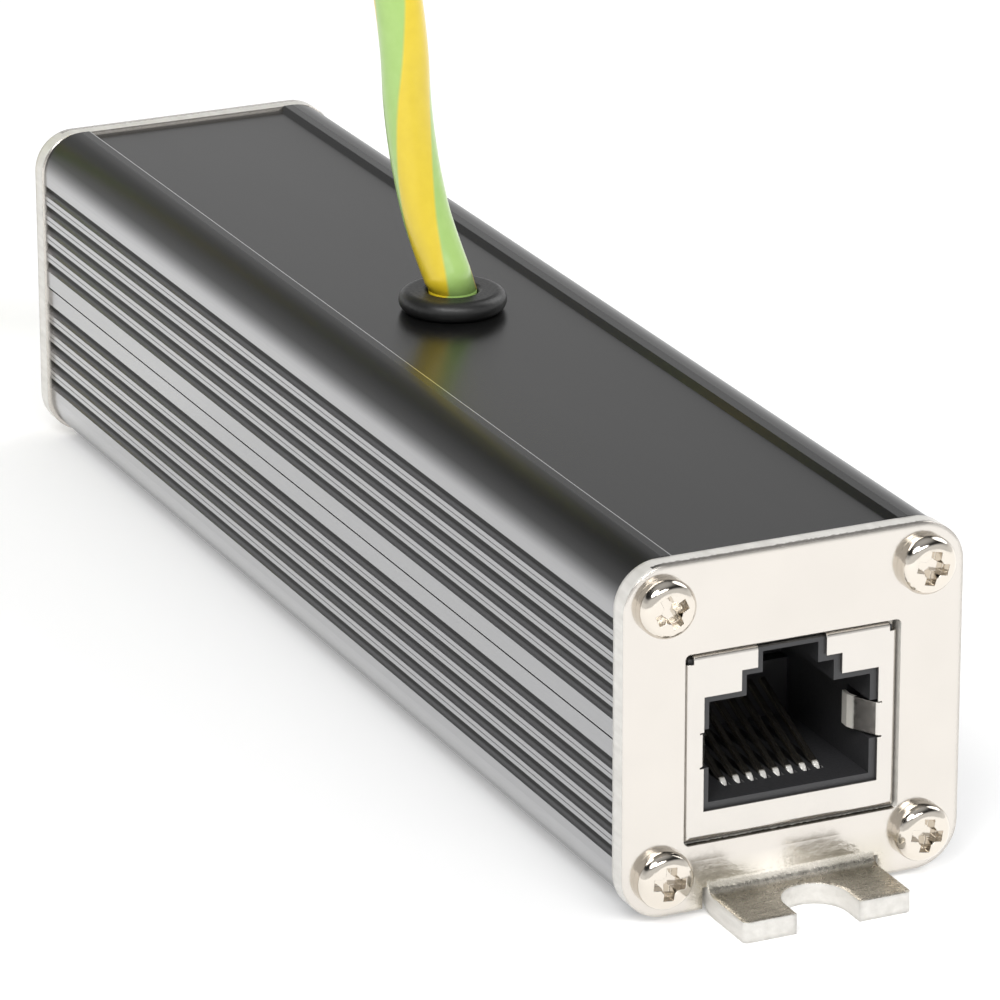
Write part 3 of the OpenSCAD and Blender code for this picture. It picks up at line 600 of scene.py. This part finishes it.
def plated_material(name, color, rough, edge, sheared=False, strained=None, painted_highlight=None):
    """Bright plating with faint clouds, waves and tiny pits, dull where sheared or strained."""
    material, tree, shader = new_material(name)
    cloud = noise_of(tree, "plating_cloud")
    fine = noise_of(tree, "plating_grain")
    clouded = mottled(tree, cloud, ([PLATING_DULLED * c for c in color], color))
    tint = blend(tree, specks_of(tree, "pits"), clouded, opaque(PIT))
    roughness = spread(tree, fine, rough, rough + PLATING_ROUGHER)
    ripple = total(tree, cloud, product(tree, fine, FINE_GRAIN))
    metallic = 1.0
    if strained:
        dulled, darkened = strained(tree)
        light = mottled(tree, cloud, STRAINED_NICKEL)
        dark = mottled(tree, cloud, DARKENED_NICKEL)
        grain = product(tree, noise_of(tree, "strain_grain"), STRAIN_GRAIN)
        creases = product(tree, noise_of(tree, "strain_creases"), STRAIN_CREASES)
        tint = blend(tree, dulled, tint, blend(tree, darkened, light, dark))
        roughness = total(tree, roughness, product(tree, dulled, STRAINED_ROUGHER))
        ripple = total(tree, ripple, product(tree, dulled, total(tree, grain, creases)))
    if sheared:
        cut = sheared_edges(tree)
        marks = mottled(tree, noise_of(tree, "shear_marks"), SHEARED_STEEL)
        tint = blend(tree, cut, tint, marks)
        roughness = total(tree, roughness, product(tree, cut, SHEARED_ROUGHER))
        metallic = between(tree, cut, 0, 1, 1.0, SHEARED_METALLIC)
    # Painted highlight: a pale, less metallic and rougher tint where the mask says
    if painted_highlight:
        highlighted = painted_highlight(tree)
        tint = blend(tree, highlighted, tint, opaque(PLATING_HIGHLIGHT_TINT))
        roughness = total(tree, roughness, product(tree, highlighted, HIGHLIGHT_ROUGHER))
        metallic = between(tree, highlighted, 0, 1, 1.0, PLATING_HIGHLIGHT_METALLIC)
    radius = edge(tree) if callable(edge) else edge
    fill(
        shader, Base_Color=tint, Metallic=metallic, Roughness=roughness,
        Normal=bump(tree, ripple, PLATING_BUMP, PLATING_BUMP_STRENGTH, radius),
    )
    return material


def drawn_wire_material(name, color, rough, edge=None, painted_highlight=None):
    """Smooth bright wire with faintly clouded plating, painted pale as a highlight where a mask is
    given.
    """
    material, tree, shader = new_material(name)
    cloud = noise_of(tree, "drawn_cloud")
    tint = mottled(tree, cloud, ([DRAWN_DULLED * c for c in color], color))
    metallic = 1.0
    # Painted highlight: a pale, less metallic tint where the mask says
    if painted_highlight:
        highlighted = painted_highlight(tree)
        tint = blend(tree, highlighted, tint, opaque(GOLD_HIGHLIGHT_TINT))
        metallic = between(tree, highlighted, 0, 1, 1.0, GOLD_HIGHLIGHT_METALLIC)
    fill(
        shader, Base_Color=tint, Metallic=metallic,
        Roughness=spread(tree, cloud, rough, rough + DRAWN_ROUGHER),
        Normal=bump(tree, cloud, DRAWN_BUMP, edge=edge),
    )
    return material


def plastic_material(name, color, rough):
    """Moulded plastic with a fine sparked grain."""
    material, tree, shader = new_material(name)
    grain = noise_of(tree, "sparked_grain")
    smoothest, roughest = (rough + more for more in PLASTIC_ROUGHER)
    fill(
        shader, Base_Color=mottled(tree, grain, (color, [GRAIN_LIGHTER * c for c in color])),
        Roughness=spread(tree, grain, smoothest, roughest),
        Normal=bump(tree, grain, PLASTIC_BUMP),
    )
    return material


def set_material(material, *names):
    for name in names:
        slots = nodes[name].data.materials
        slots.clear()
        slots.append(material)


def dress_nodes():
    housing = housing_material("black_anodising")
    nickel = plated_material("nickel_sheet", NICKEL, 0.12, rolled_edge, True, strained_sheet)
    screw = plated_material("screw_nickel", SCREW_NICKEL, 0.07, SCREW_EDGE)
    tin = plated_material("tinned_sheet", TIN, 0.18, TIN_EDGE, painted_highlight=finger_highlight)
    gold = drawn_wire_material("gold_wire", GOLD, 0.2, GOLD_EDGE, contact_highlight)
    set_material(housing, "upper_shell", "lower_shell")
    set_material(nickel, "front_end_plate", "rear_end_plate")
    set_material(screw, "front_plate_screws", "rear_plate_screws")
    set_material(tin, "front_jack_shield", "rear_jack_shield")
    set_material(tin, "gas_tube_electrodes", "ring_terminal")
    set_material(gold, "front_jack_contacts", "rear_jack_contacts")
    set_material(drawn_wire_material("bare_copper", COPPER, 0.25), "ground_wire_core")
    set_material(inner_wire_material("inner_insulation"), "ground_wire_inner")
    for name, (color, rough, dressed) in PLASTICS.items():
        set_material(plastic_material(name, color, rough), *dressed)


def make_ground():
    bpy.ops.mesh.primitive_plane_add(size=GROUND_SIZE)
    ground = bpy.context.object
    ground.name = "ground"
    material, tree, shader = new_material("pale_ground")
    ray = add(tree, "ShaderNodeLightPath").outputs
    shown = product(tree, ray["Is Camera Ray"], GROUND_GLOW)
    mirrored = product(tree, ray["Is Glossy Ray"], GROUND_GLOW_IN_METAL)
    fill(
        shader, Base_Color=mottled(tree, noise_of(tree, "ground_cloud"), GROUND_COLORS),
        Roughness=GROUND_ROUGH, Specular_IOR_Level=0, Emission_Color=grey(1),
        Emission_Strength=total(tree, shown, mirrored),
    )
    ground.data.materials.append(material)


def make_world():
    """White for the camera, even for diffuse light, and in metal with a dark belt high up."""
    world = bpy.data.worlds.new("studio")
    bpy.context.scene.world = world
    world.use_nodes = True
    tree = world.node_tree
    tree.nodes.clear()
    direction = axes(tree, add(tree, "ShaderNodeTexCoord").outputs["Generated"])
    ramp = fill(add(tree, "ShaderNodeValToRGB"), Fac=direction["Z"])
    elements = ramp.color_ramp.elements
    for element, (height, level) in zip(elements, (SKY_IN_METAL[0], SKY_IN_METAL[-1])):
        element.position = height
        element.color = grey(level)
    for height, level in SKY_IN_METAL[1:-1]:
        elements.new(height).color = grey(level)
    ahead = product(
        tree, between(tree, direction["Y"], *AHEAD), between(tree, direction["Z"], *LOW),
    )
    mirrored = blend(tree, ahead, ramp.outputs["Color"], grey(SKY_AHEAD))
    ray = add(tree, "ShaderNodeLightPath").outputs
    lit = blend(tree, ray["Is Glossy Ray"], grey(SKY_DIFFUSE), mirrored)
    shown = blend(tree, ray["Is Camera Ray"], lit, grey(1))
    back = fill(add(tree, "ShaderNodeBackground"), Color=shown)
    fill(add(tree, "ShaderNodeOutputWorld"), Surface=back.outputs[0])


def make_lamps():
    for name, facts in LAMPS.items():
        lamp = bpy.data.objects.new(name, bpy.data.lights.new(name, "AREA"))
        lamp.data.shape = "ELLIPSE"
        lamp.data.size = facts["wide"]
        lamp.data.size_y = facts["high"]
        lamp.data.energy = facts["power"]
        lamp.location = facts["at"]
        lamp.rotation_mode = "QUATERNION"
        lamp.rotation_quaternion = (-Vector(facts["at"])).to_track_quat("-Z", "Y")
        bpy.context.scene.collection.objects.link(lamp)


set_camera()
make_wire()
dress_nodes()
make_ground()
make_world()
make_lamps()
bpy.context.scene.view_settings.view_transform = "Standard"
